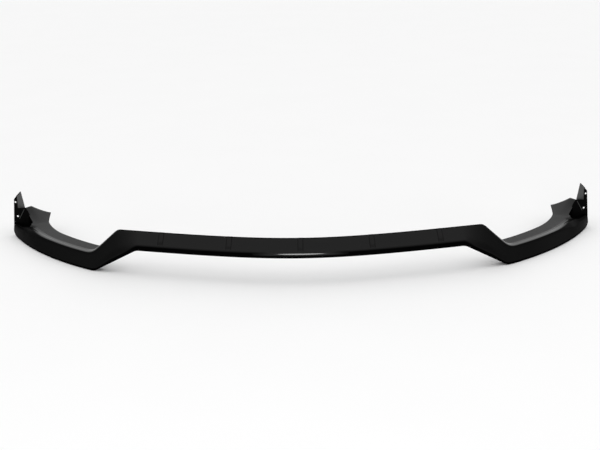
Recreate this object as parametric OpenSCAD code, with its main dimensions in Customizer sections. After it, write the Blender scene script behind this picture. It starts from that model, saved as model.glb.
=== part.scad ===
// Front splitter lip: a moulded lip that is fixed under the lower edge of a car's front bumper.
// It is one thin-walled piece. X runs across the car, -Y points ahead of the car and +Z is up.
// The part stands on the low edges of its two wings, and it is the same on both sides of X = 0.

/* [Plan outline] */
// Distance from the middle to the plan corner where the band meets a wing
corner_x = 554; // [540:1:566]
// How far the band's outer ends would fall back along their straight run
bow_depth = 92; // [60:1:110]
// Half width of the rounded middle of the band
bow_reach = 250; // [200:1:320]
// Radius of the plan corner
corner_r = 90; // [80:1:140]
// Direction of a wing where it leaves the corner, in degrees from straight across
wing_turn_in = 38.5; // [36:0.5:42]
// Direction of a wing at its rear end, in degrees from straight across
wing_turn_out = 65.8; // [62:0.1:68]
// Radius of a wing's sweep, seen from above
wing_r = 1000; // [950:10:1050]

/* [Heights] */
// Height of the band's lower edge above the wings' lower edge
band_foot_h = 67; // [40:1:80]
// Height of the band's top edge
band_top_h = 118; // [105:1:125]
// Height of a wing's crest
wing_top_h = 50; // [44:1:56]
// Distance from the middle to where the lower edge starts to drop
drop_start_x = 441; // [420:1:445]
// Distance from the middle to where the lower edge has come down
drop_end_x = 562; // [555:1:575]
// Distance from the middle to where the top edge starts to drop
top_drop_start_x = 499; // [490:1:508]
// Distance from the middle to where the top edge has come down
top_drop_end_x = 572; // [565:1:580]

/* [Section] */
// Thickness of the moulded wall
wall = 3; // [2.4:0.1:3.6]
// Height of the upright nose strip along the band
nose_h = 13.5; // [8:0.5:18]
// How far the band's top edge lies behind its nose
band_lean = 21; // [12:0.5:26]
// How far a wing's crest lies behind its lower edge
wing_lean = 15; // [8:0.5:18]
// Lean that is left at the rear end of a wing
end_lean = 4; // [3:0.5:8]
// Width of the turned-in underside along the band
band_return_w = 40; // [30:1:50]
// Width of the turned-in underside along a wing
wing_return_w = 30; // [22:1:36]
// Width of the top edge that is turned in along the band
band_shelf_w = 14; // [14:0.5:20]
// Downward slope of the band's turned-in top edge, in degrees
band_shelf_fall = 22; // [16:1:30]
// Width of the shelf along a wing, from its front face
wing_shelf_w = 66; // [56:1:70]
// Radius of the rounded crest of a wing
wing_crest_r = 9; // [6:0.5:11]
// Radius of the band's top edge
band_crest_r = 3.5; // [3.2:0.1:5]
// Radius of the lower edge
foot_r = 4; // [3.5:0.1:5]

/* [Ribs] */
// Number of shallow upright ribs on the band
rib_count = 5; // [3:2:5]
// Distance from rib to rib, along the band
rib_pitch = 191; // [180:1:200]
// Width of a rib
rib_w = 15.5; // [12:0.5:20]
// Height of a rib above the face
rib_h = 1.2; // [0.6:0.1:2]
// Share of the face below a rib's lower end
rib_foot_share = 0.2; // [0.12:0.01:0.4]

/* [Rear ends] */
// Length of the wing over which its shelf widens and its section turns square to the car
end_run = 82; // [60:1:90]
// Length of the wing over which its shelf widens
shelf_spread_run = 130; // [100:1:150]
// Width of the shelf at a wing's rear end
end_shelf_w = 101; // [95:1:112]
// Length of the wing beside the notch in the shelf
notch_run = 44; // [30:1:50]
// Depth of the notch
notch_depth = 32; // [20:1:34]
// How far the wing's front edge is lowered beside the notch
notch_dip = 11; // [6:0.5:14]
// How far ahead of the notch the wing's front edge starts to come down
dip_lead = 18; // [10:1:24]
// Width of the notch from the wing's front face, at its front end
notch_front_w = 40; // [34:1:44]
// Width of the notch from the wing's front face, at its rear end
notch_rear_w = 51; // [48:1:58]
// How far the shelf runs on behind the end flange
tongue_run = 44; // [20:1:50]
// Rise of the shelf's outer rear corner
tongue_outer_rise = 22; // [10:1:26]
// Rise of the shelf's highest point, beside that corner
tongue_peak_rise = 28; // [22:1:32]
// Distance of that highest point from the outer rear corner
tongue_peak_in = 20; // [10:1:24]
// Rise of the shelf's inner rear corner
tongue_inner_rise = 7; // [2:1:12]
// How far the shelf's inner rear corner points in towards the middle
tongue_hook = 5; // [2:0.5:8]

/* [End flanges] */
// Height of the side wall's tip, the highest point
fin_tip_h = 128; // [124:1:134]
// How far behind the flange that tip lies
fin_tip_run = 26; // [18:1:32]
// Height at which the flange's curved edge meets the side wall
fin_corner_h = 121; // [117:1:123]
// Height at which the flange's outer edge starts to curve in to the tip
fin_shoulder_h = 110; // [104:1:114]
// Distance of the flange's outer edge in from the wing's outer face, at its foot
fin_inset = 2.5; // [2:0.5:4]
// How far the flange's outer edge leans in by its shoulder
fin_lean = 5.5; // [4:0.5:7]
// Width of the flange between its outer edge's foot and the side wall
fin_strip_w = 15; // [13:0.5:17]
// Height of the ledge where the flange widens below its strip
fin_ledge_h = 83; // [76:1:88]
// Width of the flange at its ledge
fin_ledge_w = 38; // [34:1:42]
// Width of the flange at its foot
fin_foot_w = 51; // [47:1:53]
// Length of the side wall behind the flange, at its foot
fin_wall_run = 46; // [20:1:56]
// How far the side wall turns in towards its rear end, in degrees
fin_wall_turn = 14.5; // [10:0.5:18]
// Height of the side wall's lower edge at the flange
fin_wall_low_h = 62; // [58:1:66]
// Height of the side wall's lower edge at its rear end
fin_wall_rear_h = 70; // [60:1:76]
// Width of the bead that stiffens the flange's foot
bead_w = 3; // [2:0.5:4]
// Height of that bead above the flange
bead_h = 1.2; // [0.8:0.1:2]
// Diameter of each screw hole
hole_d = 5.6; // [5:0.1:6]
// Height of the lower screw hole
hole_low_h = 58; // [54:1:60]
// Distance between the two screw holes, up the flange
hole_rise = 44; // [40:1:46]
// Distance of the upper screw hole from the flange's outer edge
hole_edge = 4.2; // [4:0.1:5.5]
// How much further in the lower screw hole lies
hole_shift = 4; // [2:0.5:5]

/* [Hidden] */
lip_colour = "#161618";

// Plan outline of the lower edge, from the middle outwards, with its front point at Y = 0.
// The band is a bow, the corner and the wing are arcs.
function band_y(x) = bow_depth * (sqrt(1 + pow(x / bow_reach, 2)) - 1);
function band_slope(x) = bow_depth / bow_reach * (x / bow_reach) / sqrt(1 + pow(x / bow_reach, 2));
corner_turn_in = atan(band_slope(corner_x));
wing_x = corner_x + corner_r * (sin(wing_turn_in) - sin(corner_turn_in));
corner_y = band_y(corner_x);
wing_y = corner_y + corner_r * (cos(corner_turn_in) - cos(wing_turn_in));
end_x = wing_x + wing_r * (sin(wing_turn_out) - sin(wing_turn_in));
end_y = wing_y + wing_r * (cos(wing_turn_in) - cos(wing_turn_out));

function plan_turn(x) =
    x <= corner_x ? atan(band_slope(x))
    : x <= wing_x ? asin(sin(corner_turn_in) + (x - corner_x) / corner_r)
    : asin(min(1, sin(wing_turn_in) + (x - wing_x) / wing_r));
function plan_y(x) =
    x <= corner_x ? band_y(x)
    : x <= wing_x ? corner_y + corner_r * (cos(corner_turn_in) - cos(plan_turn(x)))
    : wing_y + wing_r * (cos(wing_turn_in) - cos(plan_turn(x)));

// A step from 0 to 1 between two places. Its start and its end are rounded over shares of its length.
function step(x, from, to, ease_in = 0, ease_out = 0) =
    let (t = (x - from) / (to - from))
    t <= -ease_in ? 0
    : t < ease_in ? pow(t + ease_in, 2) / (4 * ease_in)
    : t <= 1 - ease_out ? t
    : t < 1 + ease_out ? 1 - pow(1 + ease_out - t, 2) / (4 * ease_out)
    : 1;
function mix(a, b, t) = a + (b - a) * t;

// How the section changes along the lip
low_ease = 0.07;
top_ease_in = 0.12;
top_ease_out = 0.36;
notch_ease = 0.2;
crease_fade_run = 40;
faded_nose_h = foot_r + 2.4;
end_foot_run = 14;
end_foot_rise = 8;
notch_ease_run = 10;
dip_ease = 0.3;
shelf_spread = 1.6;
end_start_x = end_x - end_run;
notch_start_x = end_x - notch_run;
function at_end(x) = step(x, end_start_x, end_x);
function low_drop(x) = step(x, drop_start_x, drop_end_x, low_ease, low_ease);
function top_drop(x) = step(x, top_drop_start_x, top_drop_end_x, top_ease_in, top_ease_out);
function end_foot(x) = end_foot_rise * pow(max(0, (x - end_x + end_foot_run) / end_foot_run), 2);
function foot_h(x) = band_foot_h * (1 - low_drop(x)) + end_foot(x);
function top_h(x) = mix(band_top_h, wing_top_h, top_drop(x));
function crease_h(x) =
    foot_h(x) + mix(nose_h, faded_nose_h, step(x, corner_x - crease_fade_run, corner_x));
function shelf_fall(x) = mix(band_shelf_fall, 0, top_drop(x));
function lean(x) =
    mix(mix(band_lean, wing_lean, top_drop(x)), end_lean, at_end(x));
function crest_r(x) = mix(band_crest_r, wing_crest_r, top_drop(x));
function return_w(x) = mix(band_return_w, wing_return_w, low_drop(x));
function shelf_w(x) = mix(mix(band_lean + band_shelf_w, wing_shelf_w, top_drop(x)), end_shelf_w,
    pow(step(x, end_x - shelf_spread_run, end_x), shelf_spread));
function notch(x) = step(x, notch_start_x, notch_start_x + notch_ease_run, notch_ease, notch_ease);
function dip(x) = notch_dip * step(x, notch_start_x - dip_lead, notch_start_x + dip_lead, dip_ease, dip_ease);
function notch_w(x) = mix(notch_front_w, notch_rear_w, step(x, notch_start_x, end_x));
function tongue(x) = pow(step(x, notch_start_x, end_x), 2);
flange_x = end_x - fin_inset;
wall_x = flange_x - fin_strip_w;
wall_rear_x = wall_x + wall / 2 - fin_wall_run * sin(fin_wall_turn);
tongue_flare = wall_rear_x - (end_x - notch_rear_w);
function section_turn(x) = mix(plan_turn(x), 90, pow(at_end(x), 2));

// Ribs: where the middle of each one lies, and how far the face stands proud there
function rib_at(i) =
    i == 0 ? 0
    : let (before = rib_at(i - 1)) before + rib_pitch * cos(atan(band_slope(before + rib_pitch / 2)));
rib_xs = [for (i = [0 : (rib_count - 1) / 2]) rib_at(i)];
rib_flank = 1.5;
function rib(x) = max([for (c = rib_xs) abs(x - c) <= rib_w / 2 - rib_flank / 2 ? rib_h : 0]);

// Section of the outer skin at x, as points of [distance in from the plan outline, height],
// from the rear of the underside round the foot, up the face and over the crest to the shelf's edge
crest_steps = 3;
crease_half = 1.2;
crease_share = 0.06;
notch_flank = 2;
notch_near = 4;
function crest(corner, slope, fall, r) =
    let (
        cut = r * tan((slope + fall) / 2),
        centre = corner + cut * [cos(fall), -sin(fall)] - r * [sin(fall), cos(fall)]
    )
    [for (i = [0 : crest_steps]) let (a = 90 + slope - (slope + fall) * i / crest_steps)
        centre + r * [cos(a), sin(a)]];
function skin(x) =
    let (
        low = foot_h(x),
        crease = crease_h(x),
        top = top_h(x),
        set = lean(x),
        fall = shelf_fall(x),
        slope = atan((top - crease) / set),
        proud = rib(x) * [sin(slope), -cos(slope)],
        along = [set, top - crease],
        foot = [0, crease],
        arc = crest([set, top - dip(x)] - proud, slope, fall, crest_r(x)),
        start = arc[crest_steps],
        depth = notch_depth * notch(x) - dip(x),
        rise = dip(x),
        near = notch_near,
        far = mix(near + 3 * notch_flank, notch_w(x) - start[0], notch(x)),
        peak = far + mix(mix(1, 2 * notch_flank, top_drop(x)), tongue_peak_in, notch(x)),
        edge = max(shelf_w(x) - start[0], peak + 1)
    )
    concat(
        [[return_w(x), low], [foot_r, low], [foot_r * 0.3, low + foot_r * 0.3], [0, low + foot_r]],
        [[0, crease - crease_half], foot + along * crease_share],
        [foot + along * rib_foot_share, foot + along * (rib_foot_share + crease_share) - proud],
        arc,
        [for (p = [
            [near, 0], [near + notch_flank, -depth], [far - notch_flank, -depth],
            [far, rise], [peak, rise], [edge, rise]
        ])
            start + [p[0], p[1] - p[0] * tan(fall)]]
    );
skin_points = len(skin(0));

// The same section moved in by the wall's thickness
function unit(v) = v / norm(v);
function left(v) = [-v[1], v[0]];
function corner_shift(a, b) = (left(a) + left(b)) / (1 + a * b);
function inner(points) =
    [for (i = [0 : len(points) - 1])
        let (
            before = unit(points[max(i, 1)] - points[max(i, 1) - 1]),
            after = unit(points[min(i + 1, len(points) - 1)] - points[min(i, len(points) - 2)])
        )
        points[i] - wall * corner_shift(before, after)];

// A point of the section placed in space. The shelf's points near the rear end also move back,
// outwards and up, which makes the tongue.
tongue_from = skin_points - 3;
tongue_flares = [tongue_flare, tongue_flare, -tongue_hook];
tongue_rises = [tongue_outer_rise, tongue_peak_rise, tongue_inner_rise];
function placed(side, x, p, i) =
    let (
        turn = section_turn(x),
        k = i - tongue_from,
        reach = k >= 0 ? tongue(x) : 0,
        flare = k >= 0 ? tongue_flares[k] : 0,
        rise = k >= 0 ? tongue_rises[k] : 0
    )
    [side * (x - p[0] * sin(turn) + reach * flare),
     plan_y(x) + p[0] * cos(turn) + reach * tongue_run,
     p[1] + reach * rise];

// Places of the sections: close together where the shape changes, wide apart where it runs on
function sorted(v) =
    len(v) <= 1 ? v
    : let (mid = v[floor(len(v) / 2)])
      concat(sorted([for (a = v) if (a < mid) a]), [mid], sorted([for (a = v) if (a > mid) a]));
station_xs = sorted(concat(
    [for (c = rib_xs) for (k = [-rib_w / 2, rib_flank - rib_w / 2, rib_w / 2 - rib_flank, rib_w / 2])
        if (c + k > 0) c + k],
    [0],
    [for (c = rib_xs) for (k = [0.25, 0.5, 0.75]) if (c < max(rib_xs)) c + k * rib_pitch],
    [for (k = [1 : 2]) mix(max(rib_xs), drop_start_x - 14, k / 3)],
    [for (k = [0 : 14]) drop_start_x - 14 + k * 10.5],
    [for (k = [1 : 6]) wing_x + k * (end_start_x - wing_x) / 6],
    [for (k = [1 : 4]) mix(end_start_x, notch_start_x, k / 4)],
    [for (k = [1 : 5]) notch_start_x + k * notch_ease_run * (1 + notch_ease) / 5],
    [for (k = [1 : 4]) mix(notch_start_x + notch_ease_run * (1 + notch_ease), end_x, k / 4)]
));
stations = concat(
    [for (i = [len(station_xs) - 1 : -1 : 1]) [-1, station_xs[i]]],
    [for (x = station_xs) [1, x]]
);

module shell() {
    rows = [for (s = stations)
        let (outer = skin(s[1]), within = inner(outer), last = skin_points - 1)
        concat(
            [for (i = [0 : last]) placed(s[0], s[1], outer[i], i)],
            [for (i = [last : -1 : 0]) placed(s[0], s[1], within[i], i)]
        )];
    ring = 2 * skin_points;
    last_row = len(rows) - 1;
    function at(row, i) = row * ring + i % ring;
    walls = [for (row = [0 : last_row - 1]) for (i = [0 : ring - 1]) each [
        [at(row, i), at(row, i + 1), at(row + 1, i + 1)],
        [at(row, i), at(row + 1, i + 1), at(row + 1, i)]]];
    caps = [for (i = [0 : skin_points - 2]) each [
        [at(0, i), at(0, ring - 1 - i), at(0, i + 1)],
        [at(0, i + 1), at(0, ring - 1 - i), at(0, ring - 2 - i)],
        [at(last_row, i), at(last_row, i + 1), at(last_row, ring - 1 - i)],
        [at(last_row, i + 1), at(last_row, ring - 2 - i), at(last_row, ring - 1 - i)]]];
    polyhedron([for (row = rows) each row], concat(walls, caps));
}

// End flange: an upright plate square to the car, which closes the notch, with a side wall that
// runs back from it to the tongue. Its two screw holes run along Y.
flange_back = 0.6;
flange_low_h = wing_top_h - notch_depth - wall / 2;
fin_low_h = wing_top_h - notch_dip - wing_crest_r + 1;
fin_shoulder_x = flange_x - fin_lean;
fin_bend = [fin_shoulder_x - 0.5, mix(fin_shoulder_h, fin_corner_h, 0.3)];
fin_steps = 6;
function bend(a, b, c, t) = mix(mix(a, b, t), mix(b, c, t), t);
fin_outline = concat(
    [[end_x - wall / 2, flange_low_h]],
    [[flange_x - wall / 2, wing_top_h - notch_dip - wing_crest_r]],
    [[flange_x, fin_low_h]],
    [for (k = [0 : fin_steps])
        bend([fin_shoulder_x, fin_shoulder_h], fin_bend, [wall_x, fin_corner_h], k / fin_steps)],
    [[wall_x, fin_ledge_h], [flange_x - fin_ledge_w, fin_ledge_h]],
    [for (k = [1 : fin_steps])
        bend(
            [flange_x - fin_ledge_w, fin_ledge_h],
            [flange_x - fin_foot_w, mix(fin_ledge_h, wing_top_h, 0.5)],
            [flange_x - fin_foot_w, wing_top_h - wall],
            k / fin_steps)],
    [[flange_x - fin_foot_w, flange_low_h]]
);
fin_wall_outline = [
    [-wall / 2, fin_wall_low_h], [fin_wall_run, fin_wall_rear_h],
    [fin_tip_run, fin_tip_h], [-wall / 2, fin_corner_h - 1]
];
bead_sink = 0.5;
bead_top = [flange_x - fin_ledge_w + bead_w, fin_ledge_h - bead_w];
bead_foot = [wall_x - bead_w, wing_top_h];
bead_outline = [
    bead_top + [bead_w / 2, 0], bead_top - [bead_w / 2, 0],
    bead_foot - [bead_w / 2, 0], bead_foot + [bead_w / 2, 0]
];
hole_high = [
    mix(flange_x, fin_shoulder_x, (hole_low_h + hole_rise - fin_low_h) / (fin_shoulder_h - fin_low_h))
        - hole_edge,
    hole_low_h + hole_rise
];
hole_low = [hole_high[0] - hole_shift, hole_low_h];

module end_flange() {
    difference() {
        translate([0, end_y + flange_back, 0])
            rotate([90, 0, 0])
                linear_extrude(wall) polygon(fin_outline);
        for (h = [hole_low, hole_high])
            translate([h[0], end_y + wall, h[1]])
                rotate([90, 0, 0])
                    cylinder(h = 3 * wall, d = hole_d, $fn = 48);
    }
    translate([wall_x, end_y, 0])
        rotate([90, 0, 90 + fin_wall_turn])
            linear_extrude(wall) polygon(fin_wall_outline);
    translate([0, end_y + flange_back - wall + bead_sink, 0])
        rotate([90, 0, 0])
            linear_extrude(bead_h + bead_sink) polygon(bead_outline);
}

// Distance that brings the origin to the middle of the part's box along Y
fin_wall_reach = fin_wall_run * cos(fin_wall_turn) + wall * sin(fin_wall_turn);
front_y = -(end_y + max(fin_wall_reach, tongue_run)) / 2;

module splitter_lip() {
    color(lip_colour)
        translate([0, front_y, 0])
            union() {
                shell();
                end_flange();
                mirror([1, 0, 0]) end_flange();
            }
}

splitter_lip();
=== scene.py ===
# %% [markdown]
# # A front splitter lip in gloss black plastic
# The real object is one thin moulding that carries a car's front bumper on downwards. It has a
# raised band in the middle, two swept wings with flat shelves, and a drilled flange at each end.
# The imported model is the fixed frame: the pieces made here have the same place and size.

# %% Load the frame
import math

import bmesh
import bpy
from mathutils import Matrix, Vector


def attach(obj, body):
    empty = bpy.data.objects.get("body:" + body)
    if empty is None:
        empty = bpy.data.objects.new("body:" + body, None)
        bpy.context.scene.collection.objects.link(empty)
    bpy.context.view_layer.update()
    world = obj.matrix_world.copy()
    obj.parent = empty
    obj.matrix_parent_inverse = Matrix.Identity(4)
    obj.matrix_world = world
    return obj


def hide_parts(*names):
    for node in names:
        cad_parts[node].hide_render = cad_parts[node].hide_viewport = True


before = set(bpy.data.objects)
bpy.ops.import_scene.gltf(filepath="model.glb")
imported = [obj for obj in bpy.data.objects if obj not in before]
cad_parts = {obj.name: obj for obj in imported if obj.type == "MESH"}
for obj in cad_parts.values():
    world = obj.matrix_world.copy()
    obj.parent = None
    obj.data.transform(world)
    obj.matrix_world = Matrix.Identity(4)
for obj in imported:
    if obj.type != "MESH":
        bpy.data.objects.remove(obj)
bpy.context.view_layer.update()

# %% [markdown]
# ## The camera
# The picture was taken from far off with a long lens, a little above the lip and almost square to
# it. Place, lens and roll were fitted to the lip's outline. The lens looks a little above the lip,
# so that no lens shift is needed.

# %% Camera
MM = 0.001
IMAGE_W, IMAGE_H = 600, 450
CAMERA_TARGET = Vector((0, -45, 60)) * MM
CAMERA_AZ, CAMERA_EL = math.radians(0.2), math.radians(15.775)
CAMERA_ROLL = math.radians(0.9125)
CAMERA_DIST = 3206.25 * MM
FOCAL_PX = 1150.36
AXIS_PX = (300.6, 236.5)
SENSOR_W = 36

back = Vector((
    math.sin(CAMERA_AZ) * math.cos(CAMERA_EL),
    -math.cos(CAMERA_AZ) * math.cos(CAMERA_EL),
    math.sin(CAMERA_EL)))
right = Vector((math.cos(CAMERA_AZ), math.sin(CAMERA_AZ), 0))
up = back.cross(right)
rolled_right = math.cos(CAMERA_ROLL) * right - math.sin(CAMERA_ROLL) * up
rolled_up = math.sin(CAMERA_ROLL) * right + math.cos(CAMERA_ROLL) * up
off_x = (AXIS_PX[0] - IMAGE_W / 2) / FOCAL_PX
off_y = (AXIS_PX[1] - IMAGE_H / 2) / FOCAL_PX
aim_back = (back + rolled_right * off_x - rolled_up * off_y).normalized()
aim_right = rolled_up.cross(aim_back).normalized()
aim_up = aim_back.cross(aim_right)

camera_data = bpy.data.cameras.new("camera")
camera_data.sensor_width = SENSOR_W
camera_data.lens = FOCAL_PX * SENSOR_W / IMAGE_W
camera = bpy.data.objects.new("camera", camera_data)
camera.matrix_world = Matrix.Translation(CAMERA_TARGET + back * CAMERA_DIST) @ Matrix((
    aim_right, aim_up, aim_back)).transposed().to_4x4()
bpy.context.scene.collection.objects.link(camera)
bpy.context.scene.camera = camera
print("lens", round(camera_data.lens, 2), "mm")

# %% [markdown]
# ## The outline seen from above
# The band is a shallow bow with straight runs. A tight arc turns the corner, and each wing sweeps
# back on a wide arc. Everything hangs on this line, which is the lip's lower front edge, so it is
# given as a function of the distance from the middle.

# %% Outline from above
BOW_DEPTH, BOW_REACH = 92, 250
CORNER_X, CORNER_R = 554, 90
WING_R = 1000
WING_TURN_IN, WING_TURN_OUT = math.radians(38.5), math.radians(65.8)


def bow(x):
    return BOW_DEPTH * (math.sqrt(1 + (x / BOW_REACH) ** 2) - 1)


def bow_slope(x):
    return BOW_DEPTH / BOW_REACH * (x / BOW_REACH) / math.sqrt(1 + (x / BOW_REACH) ** 2)


CORNER_TURN = math.atan(bow_slope(CORNER_X))
CORNER_Y = bow(CORNER_X)
WING_X = CORNER_X + CORNER_R * (math.sin(WING_TURN_IN) - math.sin(CORNER_TURN))
WING_Y = CORNER_Y + CORNER_R * (math.cos(CORNER_TURN) - math.cos(WING_TURN_IN))
END_X = WING_X + WING_R * (math.sin(WING_TURN_OUT) - math.sin(WING_TURN_IN))
END_Y = WING_Y + WING_R * (math.cos(WING_TURN_IN) - math.cos(WING_TURN_OUT))


def plan_turn(x):
    if x <= CORNER_X:
        return math.atan(bow_slope(x))
    if x <= WING_X:
        return math.asin(math.sin(CORNER_TURN) + (x - CORNER_X) / CORNER_R)
    return math.asin(min(1, math.sin(WING_TURN_IN) + (x - WING_X) / WING_R))


def plan_y(x):
    if x <= CORNER_X:
        return bow(x)
    if x <= WING_X:
        return CORNER_Y + CORNER_R * (math.cos(CORNER_TURN) - math.cos(plan_turn(x)))
    return WING_Y + WING_R * (math.cos(WING_TURN_IN) - math.cos(plan_turn(x)))


print("rear end of a wing at", round(END_X, 1), round(END_Y, 1), "mm")

# %% [markdown]
# ## Heights and widths along the lip
# The band stands high, the wings lie low, and a short flank joins them. Each size of the section
# moves from its value on the band to its value on a wing. The move is a straight ramp with rounded
# ends, which is what a drawn flank between two tangent arcs looks like. Near each rear end the
# crest's rounding rolls out wide, and then the shelf dips into a notch.

# %% Laws along the lip
BAND_FOOT, BAND_TOP, WING_TOP = 67, 118, 50
DROP_X, DROP_EASE = (441, 562), (0.07, 0.07)
TOP_DROP_X, TOP_DROP_EASE = (499, 572), (0.12, 0.36)
NOSE_H, FADED_NOSE_H, CREASE_FADE_RUN = 13.5, 6.4, 40
BAND_LEAN, WING_LEAN, END_LEAN = 21, 15, 4
BAND_RETURN, WING_RETURN = 40, 30
BAND_SHELF, WING_SHELF, END_SHELF = 14, 66, 101
BAND_FALL = math.radians(22)
BAND_CREST_R, WING_CREST_R, FOOT_R = 3.5, 9, 4
END_RUN, END_FOOT_RUN, END_FOOT_RISE = 82, 14, 8
SPREAD_RUN, SPREAD_POWER, NOTCH_RUN, NOTCH_START_RUN = 130, 1.6, 44, 10
NOTCH_DEPTH, NOTCH_DIP, DIP_LEAD = 32, 11, 18
NOTCH_EASE, DIP_EASE, ROLL_EASE = (0.2, 0.2), (0.3, 0.3), (0.3, 0.3)
NOTCH_FRONT_W, NOTCH_REAR_W = 40, 51
NOTCH_X = END_X - NOTCH_RUN
ROLL_R, ROLL_POWER = 26, 1.5
ROLL_GROWS, ROLL_ENDS = (NOTCH_X - 110, NOTCH_X - 20), (NOTCH_X - 12, NOTCH_X + 6)


def mix(a, b, t):
    return a + (b - a) * t


def ramp(x, start, end, ease_in=0.0, ease_out=0.0):
    t = (x - start) / (end - start)
    if t <= -ease_in:
        return 0.0
    if t < ease_in:
        return (t + ease_in) ** 2 / (4 * ease_in)
    if t <= 1 - ease_out:
        return t
    if t < 1 + ease_out:
        return 1 - (1 + ease_out - t) ** 2 / (4 * ease_out)
    return 1.0


def at_end(x):
    return ramp(x, END_X - END_RUN, END_X)


def low_drop(x):
    return ramp(x, *DROP_X, *DROP_EASE)


def top_drop(x):
    return ramp(x, *TOP_DROP_X, *TOP_DROP_EASE)


def notch(x):
    return ramp(x, NOTCH_X, NOTCH_X + NOTCH_START_RUN, *NOTCH_EASE)


def dip(x):
    return NOTCH_DIP * ramp(x, NOTCH_X - DIP_LEAD, NOTCH_X + DIP_LEAD, *DIP_EASE)


def roll(x):
    return ramp(x, *ROLL_GROWS) ** ROLL_POWER * (1 - ramp(x, *ROLL_ENDS, *ROLL_EASE))


def foot_h(x):
    end_share = max(0, (x - END_X + END_FOOT_RUN) / END_FOOT_RUN)
    return BAND_FOOT * (1 - low_drop(x)) + END_FOOT_RISE * end_share ** 2


def crease_h(x):
    faded = ramp(x, CORNER_X - CREASE_FADE_RUN, CORNER_X)
    return foot_h(x) + mix(NOSE_H, FADED_NOSE_H, faded)


def top_h(x):
    return mix(BAND_TOP, WING_TOP, top_drop(x))


def lean(x):
    return mix(mix(BAND_LEAN, WING_LEAN, top_drop(x)), END_LEAN, at_end(x))


def shelf_w(x):
    return mix(mix(BAND_LEAN + BAND_SHELF, WING_SHELF, top_drop(x)), END_SHELF,
               ramp(x, END_X - SPREAD_RUN, END_X) ** SPREAD_POWER)


print("each notch runs from", round(NOTCH_X, 1), "to", round(END_X, 1), "mm")

# %% [markdown]
# ## Ribs on the band
# Five shallow upright ribs stand on the band's face. They are pads about a millimetre high with
# soft flanks, so they are worked into the face itself: a bump in the section near each rib.

# %% Ribs
RIB_PITCH, RIB_W, RIB_H, RIB_FLANK, RIB_FOOT = 191, 15.5, 1.2, 2.2, 0.2
RIBS_PER_SIDE = 2
RIB_XS = [0]
for _ in range(RIBS_PER_SIDE):
    halfway_turn = math.atan(bow_slope(RIB_XS[-1] + RIB_PITCH / 2))
    RIB_XS.append(RIB_XS[-1] + RIB_PITCH * math.cos(halfway_turn))


def smooth(t):
    t = min(1, max(0, t))
    return t * t * (3 - 2 * t)


def rib(x):
    return RIB_H * max(smooth((RIB_W / 2 - abs(x - c)) / RIB_FLANK) for c in RIB_XS)


print("ribs at", [round(x, 1) for x in RIB_XS], "mm from the middle")

# %% [markdown]
# ## The section
# Cut across, the lip is a thin open channel: an underside turned in, a rounded foot, an upright
# nose strip, a crease, a face that leans back, a rounded crest and a shelf. The section is a list
# of points, each with its distance in from the outline and its height. It is made in order, from
# the underside to the shelf's inner edge. A bevelled curve could carry one fixed section, but this
# one changes all along the lip, so each section is worked out with the same number of points.

# %% Underside, foot and crease
# The crease's arc is as large as the nose strip leaves room for.
FOOT_STEPS, CREASE_STEPS, CREST_STEPS = 6, 8, 10
CREASE_R, CREASE_ROOM, RETURN_MIDDLE = 24, 0.9, 20


def arc(centre, r, start, end, steps):
    return [Vector((centre[0] + r * math.cos(a), centre[1] + r * math.sin(a)))
            for a in (start + (end - start) * i / steps for i in range(steps + 1))]


def slope(x):
    return math.atan((top_h(x) - crease_h(x)) / lean(x))


def underside(x):
    low, returned = foot_h(x), mix(BAND_RETURN, WING_RETURN, low_drop(x))
    points = [Vector((w, low)) for w in (returned, RETURN_MIDDLE, FOOT_R + 1)]
    return points + arc((FOOT_R, low + FOOT_R), FOOT_R, -math.pi / 2, -math.pi, FOOT_STEPS)


def crease_arc(x):
    tilt = math.pi / 2 - slope(x)
    room = CREASE_ROOM * (crease_h(x) - foot_h(x) - FOOT_R)
    r = min(CREASE_R, room / math.tan(tilt / 2))
    centre = (r, crease_h(x) - r * math.tan(tilt / 2))
    return arc(centre, r, math.pi, math.pi - tilt, CREASE_STEPS)


print("in the middle the face leans back", round(90 - math.degrees(slope(0)), 1), "degrees")

# %% Crest and face
# The face's points are close together at the ribs' foot, where a rib rises out of the face.
FACE_LOW, FACE_LIFT, FACE_HIGH = -0.03, (0.25, 0.5, 0.75, 1), (0.3, 0.6, 0.9)
RIB_RISE, RIB_LEAD = 0.26, 0.2


def shelf_fall(x):
    return mix(BAND_FALL, 0, top_drop(x))


def proud(x):
    return rib(x) * Vector((math.sin(slope(x)), -math.cos(slope(x))))


def crest_arc(x):
    fall = shelf_fall(x)
    r = mix(mix(BAND_CREST_R, WING_CREST_R, top_drop(x)), ROLL_R, roll(x))
    corner = Vector((lean(x), top_h(x) - dip(x))) - proud(x)
    cut = r * math.tan((slope(x) + fall) / 2)
    centre = corner + cut * Vector((math.cos(fall), -math.sin(fall)))
    centre -= r * Vector((math.sin(fall), math.cos(fall)))
    return arc(centre, r, math.pi / 2 + slope(x), math.pi / 2 - fall, CREST_STEPS)


def face_points(x, crest_start):
    foot = Vector((0, crease_h(x)))
    along = Vector((lean(x), top_h(x) - crease_h(x)))
    points = [foot + along * (RIB_FOOT + FACE_LOW)]
    points += [foot + along * (RIB_FOOT + RIB_RISE * (t - RIB_LEAD)) - proud(x) * smooth(t)
               for t in FACE_LIFT]
    return points + [points[-1].lerp(crest_start, t) for t in FACE_HIGH]


print("the middle rib stands", round(proud(0).length, 2), "mm proud")

# %% Shelf
# Each pair is a distance in from the crest's end and a height over it. Near the rear end the shelf
# drops into the notch between near and far, with a broken edge on both sides.
NEAR, FLANK, PEAK_RUN = 4, 2, 20
BREAK, BREAK_SHARE = 0.2, 0.05
INNER_SHARES = (0.2, 0.4, 0.6, 0.8, 0.96, 1)


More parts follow.
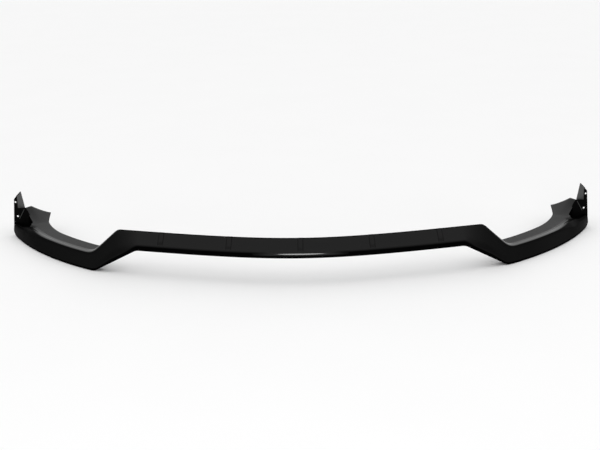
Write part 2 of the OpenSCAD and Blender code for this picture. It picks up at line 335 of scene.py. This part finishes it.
def shelf_steps(x, start_w):
    rise, depth = dip(x), NOTCH_DEPTH * notch(x) - dip(x)
    notch_w = mix(NOTCH_FRONT_W, NOTCH_REAR_W, ramp(x, NOTCH_X, END_X)) - start_w
    far = mix(NEAR + 3 * FLANK, notch_w, notch(x))
    peak = far + mix(mix(1, 2 * FLANK, top_drop(x)), PEAK_RUN, notch(x))
    edge = max(shelf_w(x) - start_w, peak + 1)
    steps = [(NEAR / 2, 0), (NEAR - 0.5, 0), (NEAR + BREAK, -depth * BREAK_SHARE)]
    steps += [(mix(NEAR + FLANK, far - FLANK, t), -depth) for t in (0, 0.33, 0.66, 1)]
    steps += [(far - BREAK, mix(rise, -depth, BREAK_SHARE)), (far, rise)]
    steps += [(mix(far, peak, t), rise) for t in (0.33, 0.66, 1)]
    return steps + [(mix(peak, edge, t), rise) for t in INNER_SHARES]


print(len(shelf_steps(0, 0)), "points across the shelf")

# %% [markdown]
# ## Shares of sheen
# Each point of the section also carries two shares from 0 to 1. The first sets the strength of the
# clear coat, so it is painted sheen and shade: thick on the wings' crests and on the crease in the
# middle, even on the band, and thin on the nose strip and the wings. The second is a painted
# highlight, a metallic line along the crest of each wing, which thins out towards the rear end. A
# share per point was chosen because it follows the section exactly.

# %% Painted sheen and shade on the front
# Painted sheen and shade: the band mirrors more than the wings and the rear ends least, and the
# crease in the middle gets a strong share for its glint.
BAND_SHEEN, WING_SHEEN, END_SHEEN, GLINT_SHEEN = 0.32, 0.14, 0.018, 0.85
GLINT_FADES = (80, 120)
FLANK_SHADE, RIB_EDGE_SHADE, WING_TOP_SHADE = 0.6, 0.95, 0.3
RISE_STEPS, CREASE_MIDDLE, FACE_STEPS = 3, CREASE_STEPS / 2, len(FACE_LIFT + FACE_HIGH)


def hump(t):
    return 4 * t * (1 - t)


def front_sheen(x):
    share = mix(mix(BAND_SHEEN, WING_SHEEN, low_drop(x)), END_SHEEN,
                ramp(x, WING_X, END_X - END_RUN))
    glint = GLINT_SHEEN * (1 - ramp(x, *GLINT_FADES))
    on_flank = hump(low_drop(x))
    # Painted shade: the lower part of each flank is darker.
    low = 1 - FLANK_SHADE * on_flank
    glint_shares = [glint * smooth(i / RISE_STEPS) * (1 - smooth(i / CREASE_MIDDLE - 1))
                    for i in range(CREASE_STEPS + 1)]
    rise_start = CREASE_MIDDLE * (1 - on_flank)
    crease = [max(v, share * low * smooth((i - rise_start) / RISE_STEPS))
              for i, v in enumerate(glint_shares)]
    # Painted shade: dark lines along the flanks of the ribs.
    share *= 1 - RIB_EDGE_SHADE * hump(rib(x) / RIB_H)
    face = [share * mix(low, 1, min(1, i / RISE_STEPS)) for i in range(FACE_STEPS)]
    # Painted shade: a dark line at the top of each wing's face, under the crest.
    face.append(share * mix(1, WING_TOP_SHADE, top_drop(x)))
    return crease + face, share * (1 - top_drop(x))


print("most lacquer in the middle:", round(max(front_sheen(0)[0]), 2))

# %% Painted sheen and highlight on the crest
# The line's start and fade are counted in steps of the crest's arc. Both move on where it rolls.
# Painted highlight: the crest's line of coat and metallic shine is placed where the highlight
# shows, and it thins out and ends before the notch.
CREST_SHEEN, ROLL_SHEEN = 0.6, 0.05
THIN_LINE, LINE_THINS, LINE_ENDS = 0.4, (NOTCH_X - 100, NOTCH_X - 40), (NOTCH_X - 40, NOTCH_X - 12)
LINE_START, LINE_SHIFT, LINE_RISE = 0.5, 6, 1.5
HIGHLIGHT_FADE, HIGHLIGHT_SHIFT, HIGHLIGHT_FALL = 5.5, 2, 3.5
SHELF_SHARE, SHELF_REACH = 0.4, 8


def line_strength(x):
    thinned = mix(1, THIN_LINE, ramp(x, *LINE_THINS))
    return top_drop(x) * thinned * (1 - ramp(x, *LINE_ENDS))


def crest_line(x):
    start = LINE_START + LINE_SHIFT * roll(x)
    return [line_strength(x) * smooth((i - start) / LINE_RISE) for i in range(CREST_STEPS + 1)]


def crest_sheen(x, edge_share):
    shares = [max(CREST_SHEEN * v, ROLL_SHEEN * roll(x)) for v in crest_line(x)]
    shares[0] += edge_share
    shares[1] += edge_share / 2
    return shares


def crest_highlight(x):
    fade = HIGHLIGHT_FADE + HIGHLIGHT_SHIFT * roll(x)
    return [v * (1 - smooth((i - fade) / HIGHLIGHT_FALL)) for i, v in enumerate(crest_line(x))]


def shelf_sheen(x, steps):
    share = CREST_SHEEN * line_strength(x) * SHELF_SHARE
    return [share * (1 - smooth(a / SHELF_REACH)) for a, _ in steps]


print("most polish on a wing:", round(max(crest_highlight(WING_X)), 2))


# %% The whole section
def section(x):
    low, crest = underside(x), crest_arc(x)
    front = low + crease_arc(x) + face_points(x, crest[0])
    steps = shelf_steps(x, crest[-1][0])
    fall = math.tan(shelf_fall(x))
    shelf = [crest[-1] + Vector((a, b - a * fall)) for a, b in steps]
    front_shares, edge_share = front_sheen(x)
    coat_and_sheen = [0.0] * len(low) + front_shares + crest_sheen(x, edge_share)
    coat_and_sheen += shelf_sheen(x, steps)
    painted_highlight = [0.0] * len(front) + crest_highlight(x) + [0.0] * len(steps)
    return front + crest + shelf, list(zip(coat_and_sheen, painted_highlight))


SECTION_SIZE = len(section(0)[0])
GLOSS_END = SECTION_SIZE - len(shelf_steps(0, 0))
print(SECTION_SIZE, "points in the section, gloss up to point", GLOSS_END)

# %% [markdown]
# ## The shelf's tongue
# Behind the end flange the shelf runs on as a short tongue. Its rear edge rises to a peak beside
# the outer corner, and then falls to the inner corner. So the section's last points also move
# back, out and up as they near the end.

# %% A point in space
TONGUE_RUN, TONGUE_HOOK = 44, 5
STRIP_W, WALL, FLANGE_IN = 15, 3, 2.5
SIDE_WALL_RUN, SIDE_WALL_TURN = 46, math.radians(14.5)
FLANGE_X = END_X - FLANGE_IN
WALL_X = FLANGE_X - STRIP_W
FLARE = WALL_X + WALL / 2 - SIDE_WALL_RUN * math.sin(SIDE_WALL_TURN) - (END_X - NOTCH_REAR_W)
REACH_Y = SIDE_WALL_RUN * math.cos(SIDE_WALL_TURN) + WALL * math.sin(SIDE_WALL_TURN)
FRONT_Y = -(END_Y + max(REACH_Y, TONGUE_RUN)) / 2
OUTER_RISE, PEAK_RISE, INNER_RISE, HOLLOW = 22, 28, 7, 1.4
TONGUE = [(FLARE, mix(OUTER_RISE, PEAK_RISE, t / 3)) for t in (0, 0, 1, 2, 3)]
TONGUE += [(mix(FLARE, -TONGUE_HOOK, t), mix(INNER_RISE, PEAK_RISE, (1 - t) ** HOLLOW))
           for t in INNER_SHARES]


def place(x, point, i):
    turn = mix(plan_turn(x), math.pi / 2, at_end(x) ** 2)
    k = i - (SECTION_SIZE - len(TONGUE))
    reach = ramp(x, NOTCH_X, END_X) ** 2 if k >= 0 else 0
    flare, rise = TONGUE[k] if k >= 0 else (0, 0)
    return Vector((x - point[0] * math.sin(turn) + reach * flare,
                   plan_y(x) + point[0] * math.cos(turn) + reach * TONGUE_RUN + FRONT_Y,
                   point[1] + reach * rise)) * MM


print("front edge at", round(FRONT_Y, 2), "mm")

# %% [markdown]
# ## Where the sections stand
# Sections are close together where the shape changes: at the ribs, over the flank and at the rear
# ends. They are wide apart where it runs on.

# %% Stations
# Each run is a pair: where it starts, and how far apart its sections stand.
RUNS = ((0, 9), (430, 3.5), (600, 8), (END_X - END_RUN, 4), (NOTCH_X - 24, 2),
        (NOTCH_X - 2, 1), (NOTCH_X + 12, 2))
RIB_STATIONS = (-0.3, 0, 0.25, 0.5, 0.75, 1, 1.4)
LEAST_GAP = 0.2


def spread(start, end, gap):
    n = max(1, round((end - start) / gap))
    return [start + (end - start) * i / n for i in range(n)]


stations = [END_X]
for (start, gap), end in zip(RUNS, [run[0] for run in RUNS[1:]] + [END_X]):
    stations += spread(start, end, gap)
for c in RIB_XS:
    for side in (-1, 1):
        stations += [c + side * (RIB_W / 2 - RIB_FLANK * t) for t in RIB_STATIONS]
stations = sorted(x for x in stations if x >= 0)
stations = [x for i, x in enumerate(stations) if i == 0 or x - stations[i - 1] > LEAST_GAP]
print(len(stations), "sections on each side")

# %% [markdown]
# ## The skin
# The outer skin is one row of edges, extruded from section to section as one would pull a profile
# along a curve. The half is mirrored, and a Solidify modifier gives the wall its 3 mm inwards, so
# the outside keeps its exact place.

# %% Helpers for pieces
def new_piece(name, bm, materials):
    mesh = bpy.data.meshes.new(name)
    bm.to_mesh(mesh)
    bm.free()
    piece = bpy.data.objects.new(name, mesh)
    bpy.context.scene.collection.objects.link(piece)
    for m in materials:
        mesh.materials.append(m)
    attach(piece, "root")
    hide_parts("splitter_lip")
    print(name, len(mesh.vertices), "points,", len(mesh.polygons), "faces")
    return piece


def sharpen(bm, degrees):
    for f in bm.faces:
        f.smooth = True
    for e in bm.edges:
        if len(e.link_faces) == 2:
            e.smooth = e.calc_face_angle(0) < math.radians(degrees)


# %% Pull the skin along the outline
GLOSS, SATIN = 0, 1
NOTCH_BEGINS, NOTCH_GLOSS, POCKET_GLOSS, POCKET_X = 0.02, 3, 8, NOTCH_X + 15
JOIN, SKIN_SHARP = 1e-6, 40


def gloss_reach(x):
    # In the notch its outer wall is gloss too, and further back its floor and inner wall. There the
    # gloss has no share and is the darker black, a painted shade in the pocket.
    if notch(x) <= NOTCH_BEGINS:
        return GLOSS_END - 1
    return GLOSS_END + (POCKET_GLOSS if x > POCKET_X else NOTCH_GLOSS)


skin = bmesh.new()
coat_and_sheen = skin.verts.layers.float.new("coat_and_sheen")
painted_highlight = skin.verts.layers.float.new("painted_highlight")
row = [skin.verts.new(place(0, p, i)) for i, p in enumerate(section(0)[0])]
for v, shares in zip(row, section(0)[1]):
    v[coat_and_sheen], v[painted_highlight] = shares
edges = [skin.edges.new((row[i], row[i + 1])) for i in range(len(row) - 1)]
for x in stations[1:]:
    made = bmesh.ops.extrude_edge_only(skin, edges=edges)["geom"]
    # Each old point has one edge to its new point: follow it to keep the points in order
    step = {}
    for v in row:
        for e in v.link_edges:
            other = e.other_vert(v)
            if other in made and e not in edges:
                step[v] = other
    row = [step[v] for v in row]
    edges = [skin.edges.get((row[i], row[i + 1])) for i in range(len(row) - 1)]
    for i, (p, shares) in enumerate(zip(*section(x))):
        row[i].co = place(x, p, i)
        row[i][coat_and_sheen], row[i][painted_highlight] = shares
    for i, e in enumerate(edges):
        for f in e.link_faces:
            f.material_index = GLOSS if i < gloss_reach(x) else SATIN
whole = skin.verts[:] + skin.edges[:] + skin.faces[:]
bmesh.ops.mirror(skin, geom=whole, axis="X", merge_dist=JOIN)
bmesh.ops.remove_doubles(skin, verts=skin.verts, dist=JOIN)
bmesh.ops.recalc_face_normals(skin, faces=skin.faces)
nose = min(skin.faces, key=lambda f: f.calc_center_median().y)
if nose.normal.y > 0:
    bmesh.ops.reverse_faces(skin, faces=skin.faces)
sharpen(skin, SKIN_SHARP)
print("skin faces", len(skin.faces), "nose faces", tuple(round(a, 2) for a in nose.normal))

# %% [markdown]
# ## Shader helpers
# A finish can be wired node by node. It is written as sums on sockets here, which is easier to
# read: the first class below wraps a socket, so that `noise * 2 + 1` adds the nodes that do it.

# %% Shader expressions
class Value:
    def __init__(self, finish, socket):
        self.finish, self.socket = finish, socket

    def join(self, other, operation):
        return self.finish.add("ShaderNodeMath", {"operation": operation}, {0: self, 1: other})

    def __add__(self, other):
        return self.join(other, "ADD")

    def __sub__(self, other):
        return self.join(other, "SUBTRACT")

    def __mul__(self, other):
        return self.join(other, "MULTIPLY")

    def clipped(self, low, high):
        return self.finish.add("ShaderNodeMapRange", {"clamp": True}, {0: self, 1: low, 2: high})


# %% A finish
class Finish:
    def __init__(self, name):
        self.owner = bpy.data.materials.new(name)
        self.owner.use_nodes = True
        self.nodes = self.owner.node_tree.nodes
        self.links = self.owner.node_tree.links
        self.shader = self.nodes["Principled BSDF"]

    def feed(self, socket, value):
        if isinstance(value, Value):
            self.links.new(value.socket, socket)
        else:
            socket.default_value = value

    def add(self, kind, settings=None, inputs=None, output=0):
        node = self.nodes.new(kind)
        for key, value in (settings or {}).items():
            setattr(node, key, value)
        for key, value in (inputs or {}).items():
            self.feed(node.inputs[key], value)
        return Value(self, node.outputs[output])

    def set(self, **values):
        for key, value in values.items():
            self.feed(self.shader.inputs[key.replace("_", " ")], value)
        print(self.owner.name, "has", len(self.nodes), "nodes")
        return self.owner

    def spot(self):
        return self.add("ShaderNodeTexCoord", output="Object")

    def attribute(self, name):
        return self.add("ShaderNodeAttribute", {"attribute_name": name}, output="Fac")

    def noise(self, scale, detail):
        inputs = {"Vector": self.spot(), "Scale": scale, "Detail": detail}
        return self.add("ShaderNodeTexNoise", inputs=inputs, output="Fac")

    def parts(self, vector):
        node = self.nodes.new("ShaderNodeSeparateXYZ")
        self.feed(node.inputs["Vector"], vector)
        return [Value(self, out) for out in node.outputs]

    def blend(self, share, a, b):
        node = self.nodes.new("ShaderNodeMix")
        node.data_type = "RGBA"
        self.feed(node.inputs["Factor"], share)
        self.feed(node.inputs["A"], a)
        self.feed(node.inputs["B"], b)
        return Value(self, node.outputs["Result"])

    def bump(self, height, strength, distance):
        inputs = {"Strength": strength, "Distance": distance, "Height": height}
        return self.add("ShaderNodeBump", inputs=inputs, output="Normal")


def grey(value):
    return (value, value, value, 1.0)


# %% [markdown]
# ## The gloss outside
# The face is injection moulded in a polished tool: nearly black, mirror smooth, with a faint
# orange-peel swell and a few specks of dust. Black plastic shows almost only what it mirrors, so
# the colour varies very little. The skin's first share sets the strength of the clear coat, which
# is painted sheen and shade, and where it is nil the black is darker, a painted shade. Its second
# share is a painted highlight that makes the crest mirror like metal.

# %% Gloss black
COAT_IOR = 1.5
SHADE_BLACK, COATED_BLACK, CLOUD_BLACK = 0.0005, 0.0045, 0.0035
DUST_GREY, HIGHLIGHT_GLOSS = 0.04, 0.10


def make_gloss():
    finish = Finish("gloss_black")
    share, painted_highlight = finish.attribute("coat_and_sheen"), finish.attribute("painted_highlight")
    cloud, swell = finish.noise(9.0, 3.0), finish.noise(260.0, 2.0)
    dust = finish.noise(1400.0, 1.0).clipped(0.71, 0.78)
    # Where the first share is nil the black is darker: a painted shade.
    colour = finish.blend(share.clipped(0.0, 0.01), grey(SHADE_BLACK), grey(COATED_BLACK))
    colour = finish.blend(cloud * 0.3, colour, grey(CLOUD_BLACK))
    colour = finish.blend(dust * 0.2, colour, grey(DUST_GREY))
    # A painted highlight: along the crest the colour turns to a metallic grey that mirrors the
    # studio.
    colour = finish.blend(painted_highlight, colour, grey(HIGHLIGHT_GLOSS))
    rough = cloud * 0.05 + 0.12 + dust * 0.2
    return finish.set(Base_Color=colour, Metallic=painted_highlight, Roughness=rough, IOR=1.02,
                      Coat_Weight=share, Coat_Roughness=0.08, Coat_IOR=COAT_IOR,
                      Normal=finish.bump(swell, 0.10, 0.0004))


gloss_black = make_gloss()

# %% [markdown]
# ## The satin shelf
# The shelves and the inside are not seen on the car, so the tool is only stoned there. They scatter
# what they mirror, and show a fine even grain. The side walls have the same grain with more shine.

# %% Satin black
SATIN_DARK, SATIN_LIGHT, HIGHLIGHT_SATIN = 0.023, 0.031, 0.13
SHELF_IOR, SIDE_WALL_IOR = 1.12, 1.5


def make_satin(name, ior):
    finish = Finish(name)
    share, painted_highlight = finish.attribute("coat_and_sheen"), finish.attribute("painted_highlight")
    cloud, grain = finish.noise(14.0, 3.0), finish.noise(2200.0, 1.0)
    colour = finish.blend(cloud, grey(SATIN_DARK), grey(SATIN_LIGHT))
    # A painted highlight: the crest's metallic line runs on over the shelf's front.
    colour = finish.blend(painted_highlight, colour, grey(HIGHLIGHT_SATIN))
    return finish.set(Base_Color=colour, Metallic=painted_highlight, Roughness=cloud * 0.10 + 0.42, IOR=ior,
                      Coat_Weight=share, Coat_Roughness=0.25, Coat_IOR=COAT_IOR,
                      Normal=finish.bump(grain, 0.25, 0.0003))


satin_black = make_satin("satin_black", SHELF_IOR)
satin_wall = make_satin("satin_wall", SIDE_WALL_IOR)

# %% Finish the skin
# Solidify makes the wall inwards. The inside and the rim take the finish two places further on.
lip = new_piece("lip_skin", skin, [gloss_black, satin_black, satin_black])
thick = lip.modifiers.new("wall", "SOLIDIFY")
thick.thickness = WALL * MM
thick.offset = -1
thick.use_even_offset = True
thick.material_offset = 2
thick.material_offset_rim = 2

# %% [markdown]
# ## The end flanges
# At each rear end an upright plate closes the notch. It has a narrow strip that rises to a tip, a
# ledge, two screw holes and a bead, and a side wall that runs back to the tongue. Plates are drawn
# as an outline, filled round their holes and given their thickness, and their edges are broken.
# The side wall is satin on its flats and gloss black on its edges. The other plates are gloss.

# %% A plate from its outline
HOLE_D, HOLE_STEPS = 5.6, 40
BEVEL_STEPS, HARD_EDGE = 2, math.radians(60)


def bend(a, b, c, t):
    a, b, c = Vector(a), Vector(b), Vector(c)
    return tuple(a.lerp(b, t).lerp(b.lerp(c, t), t))


def plate(outline, holes, thickness, edge):
    bm = bmesh.new()
    ring = [bm.verts.new((x, 0, z)) for x, z in outline]
    for i, v in enumerate(ring):
        bm.edges.new((v, ring[(i + 1) % len(ring)]))
    for x, z in holes:
        turned = Matrix.Translation((x, 0, z)) @ Matrix.Rotation(math.pi / 2, 4, "X")
        bmesh.ops.create_circle(bm, segments=HOLE_STEPS, radius=HOLE_D / 2, matrix=turned)
    bmesh.ops.triangle_fill(bm, edges=bm.edges, use_beauty=True)
    bmesh.ops.recalc_face_normals(bm, faces=bm.faces)
    made = bmesh.ops.extrude_face_region(bm, geom=bm.faces[:])["geom"]
    moved = [v for v in made if isinstance(v, bmesh.types.BMVert)]
    bmesh.ops.translate(bm, verts=moved, vec=(0, thickness, 0))
    bmesh.ops.recalc_face_normals(bm, faces=bm.faces)
    hard = [e for e in bm.edges if e.is_manifold and e.calc_face_angle(0) > HARD_EDGE]
    bmesh.ops.bevel(bm, geom=hard, offset=edge, offset_type="OFFSET", segments=BEVEL_STEPS,
                    profile=0.5, affect="EDGES", material=-1)
    return bm


# %% Outline of the flange
# It goes up the strip's outer edge to the tip, down to the ledge and round the ledge's corner.
TIP_H, CORNER_H, SHOULDER_H, LEDGE_H = 128, 121, 110, 83
LEDGE_W, FOOT_W, SHOULDER_IN, CURVE_STEPS = 38, 51, 5.5, 18
SHOULDER_X = FLANGE_X - SHOULDER_IN
DIPPED_TOP = WING_TOP - NOTCH_DIP - WING_CREST_R
FLANGE_LOW = WING_TOP - NOTCH_DEPTH - WALL / 2
BEND_AT = (SHOULDER_X - 0.5, mix(SHOULDER_H, CORNER_H, 0.3))
STRIP_LOW, SHOULDER = (FLANGE_X, DIPPED_TOP + 1), (SHOULDER_X, SHOULDER_H)
LEDGE_END, LEDGE_FOOT = (FLANGE_X - LEDGE_W, LEDGE_H), (FLANGE_X - FOOT_W, WING_TOP - WALL)
LEDGE_BEND = (FLANGE_X - FOOT_W, (LEDGE_H + WING_TOP) / 2)

flange_outline = [(END_X - WALL / 2, FLANGE_LOW), (FLANGE_X - WALL / 2, DIPPED_TOP), STRIP_LOW]
flange_outline += [bend(SHOULDER, BEND_AT, (WALL_X, CORNER_H), k / CURVE_STEPS)
                   for k in range(CURVE_STEPS + 1)]
flange_outline += [(WALL_X, LEDGE_H), LEDGE_END]
flange_outline += [bend(LEDGE_END, LEDGE_BEND, LEDGE_FOOT, k / CURVE_STEPS)
                   for k in range(1, CURVE_STEPS + 1)]
flange_outline += [(FLANGE_X - FOOT_W, FLANGE_LOW)]
print(len(flange_outline), "points in the flange's outline")

# %% Screw holes, side wall and bead
LOW_HOLE_H, HIGH_HOLE_H, HOLE_IN, HOLE_LEAN = 58, 102, 4.2, 4
SIDE_FOOT_H, SIDE_REAR_H, TIP_RUN = 62, 70, 26
BEAD_W, BEAD_IN = 3, 3

up_strip = (HIGH_HOLE_H - STRIP_LOW[1]) / (SHOULDER_H - STRIP_LOW[1])
high_hole_x = mix(FLANGE_X, SHOULDER_X, up_strip) - HOLE_IN
holes = [(high_hole_x - HOLE_LEAN, LOW_HOLE_H), (high_hole_x, HIGH_HOLE_H)]
side_outline = [(-WALL / 2, SIDE_FOOT_H), (SIDE_WALL_RUN, SIDE_REAR_H), (TIP_RUN, TIP_H),
                (-WALL / 2, CORNER_H - 1)]
bead_ends = ((LEDGE_END[0] + BEAD_IN, LEDGE_H - BEAD_IN, 1), (WALL_X - BEAD_IN, WING_TOP, -1))
bead_outline = [(x + turn * BEAD_W / 2 * side, z) for x, z, turn in bead_ends for side in (1, -1)]
print("screw holes", [(round(x, 1), z) for x, z in holes])

# %% Build both flanges
FLAT, FLANGE_AHEAD, BEAD_AHEAD, BEAD_T = 0.9, 0.6, 1.2, 1.7
PLATE_BREAK, BEAD_BREAK, PLATE_SHARP, PLATE_SHEEN = 0.4, 0.5, 14, 0.006


def flange_part(name, bm, matrix, mirrored, finishes, share):
    # The first finish is for the flats, the last for the edges
    coat_and_sheen = bm.verts.layers.float.new("coat_and_sheen")
    for v in bm.verts:
        v[coat_and_sheen] = share
    bm.normal_update()
    for f in bm.faces:
        f.material_index = 0 if abs(f.normal.y) > FLAT else len(finishes) - 1
    bmesh.ops.transform(bm, matrix=matrix, verts=bm.verts)
    if mirrored:
        bmesh.ops.scale(bm, vec=(-1, 1, 1), verts=bm.verts)
    bmesh.ops.scale(bm, vec=(MM, MM, MM), verts=bm.verts)
    bmesh.ops.recalc_face_normals(bm, faces=bm.faces)
    sharpen(bm, PLATE_SHARP)
    return new_piece(name, bm, finishes)


FLANGE_FRONT = END_Y + FRONT_Y + FLANGE_AHEAD - WALL
# The plates get a tiny share of coat, which keeps them dark, a painted shade; the bead's full share
# is a painted sheen.
for side, mirrored in (("right", False), ("left", True)):
    flange_part("end_flange_" + side, plate(flange_outline, holes, WALL, PLATE_BREAK),
                Matrix.Translation((0, FLANGE_FRONT, 0)), mirrored, [gloss_black], PLATE_SHEEN)
    turned = (Matrix.Translation((WALL_X, END_Y + FRONT_Y, 0))
              @ Matrix.Rotation(math.pi / 2 + SIDE_WALL_TURN, 4, "Z")
              @ Matrix.Translation((0, -WALL, 0)))
    flange_part("side_wall_" + side, plate(side_outline, [], WALL, PLATE_BREAK),
                turned, mirrored, [satin_wall, gloss_black], 0)
    flange_part("bead_" + side, plate(bead_outline, [], BEAD_T, BEAD_BREAK),
                Matrix.Translation((0, FLANGE_FRONT - BEAD_AHEAD, 0)), mirrored, [gloss_black], 1)

# %% [markdown]
# ## Floor, background and light
# The lip stands in a plain pale studio. The floor runs on to the horizon and keeps a soft shadow.
# A gloss black part shows what it mirrors, so the world is not one white but a gradient of greys.
# A picture of a studio would do that too, but a gradient takes a few nodes and stays the same.

# %% Floor
FLOOR_HALF, FLOOR_DARK, FLOOR_LIGHT = 60, 0.94, 0.96


def make_floor():
    finish = Finish("pale_floor")
    colour = finish.blend(finish.noise(3.0, 2.0), grey(FLOOR_DARK), grey(FLOOR_LIGHT))
    return finish.set(Base_Color=colour, Roughness=0.9)


floor_bm = bmesh.new()
bmesh.ops.create_grid(floor_bm, x_segments=1, y_segments=1, size=FLOOR_HALF)
floor_mesh = bpy.data.meshes.new("floor")
floor_bm.to_mesh(floor_mesh)
floor_bm.free()
floor = bpy.data.objects.new("floor", floor_mesh)
bpy.context.scene.collection.objects.link(floor)
floor_mesh.materials.append(make_floor())

# %% World
# The studio is bright overhead and behind the lip, dimmer ahead, and darkest on its left.
DIM, BRIGHTER = 0.32, 0.75
OVERHEAD, BEHIND, PAST_LEFT = (0.2, 0.6), (0.1, 0.5), (-0.75, -0.45)


class Surround(Finish):
    def __init__(self, world):
        world.use_nodes = True
        self.owner = world
        self.nodes, self.links = world.node_tree.nodes, world.node_tree.links
        self.shader = self.nodes["Background"]


world = bpy.data.worlds.new("studio")
bpy.context.scene.world = world
surround = Surround(world)
direction = surround.add("ShaderNodeTexCoord", output="Generated")
toward_right, toward_back, upward = surround.parts(direction)
overhead = upward.clipped(*OVERHEAD)
backdrop = toward_back.clipped(*BEHIND) * toward_right.clipped(*PAST_LEFT)
bright = overhead + backdrop - overhead * backdrop
surround.set(Color=grey(1.0), Strength=bright * BRIGHTER + DIM)

# %% Lamp
# One wide softbox stands far ahead of the lip, near the floor. It draws the white glint on the
# crease in the middle of the band. Its energy is its glow times its area times pi.
LAMP_W, LAMP_H, LAMP_GLOW = 1.95, 1.1, 12
LAMP_AT, LAMP_AIM = Vector((0, -5, 0.66)), Vector((0, 0, 0.08))

lamp_data = bpy.data.lights.new("softbox", "AREA")
lamp_data.shape = "ELLIPSE"
lamp_data.size, lamp_data.size_y = LAMP_W, LAMP_H
lamp_data.energy = LAMP_GLOW * math.pi * (math.pi / 4 * LAMP_W * LAMP_H)
lamp = bpy.data.objects.new("softbox", lamp_data)
lamp.location = LAMP_AT
lamp.rotation_euler = (LAMP_AIM - LAMP_AT).to_track_quat("-Z", "Y").to_euler()
bpy.context.scene.collection.objects.link(lamp)
print("softbox of", round(lamp_data.energy), "W")

# %% View transform
bpy.context.scene.view_settings.view_transform = "Standard"
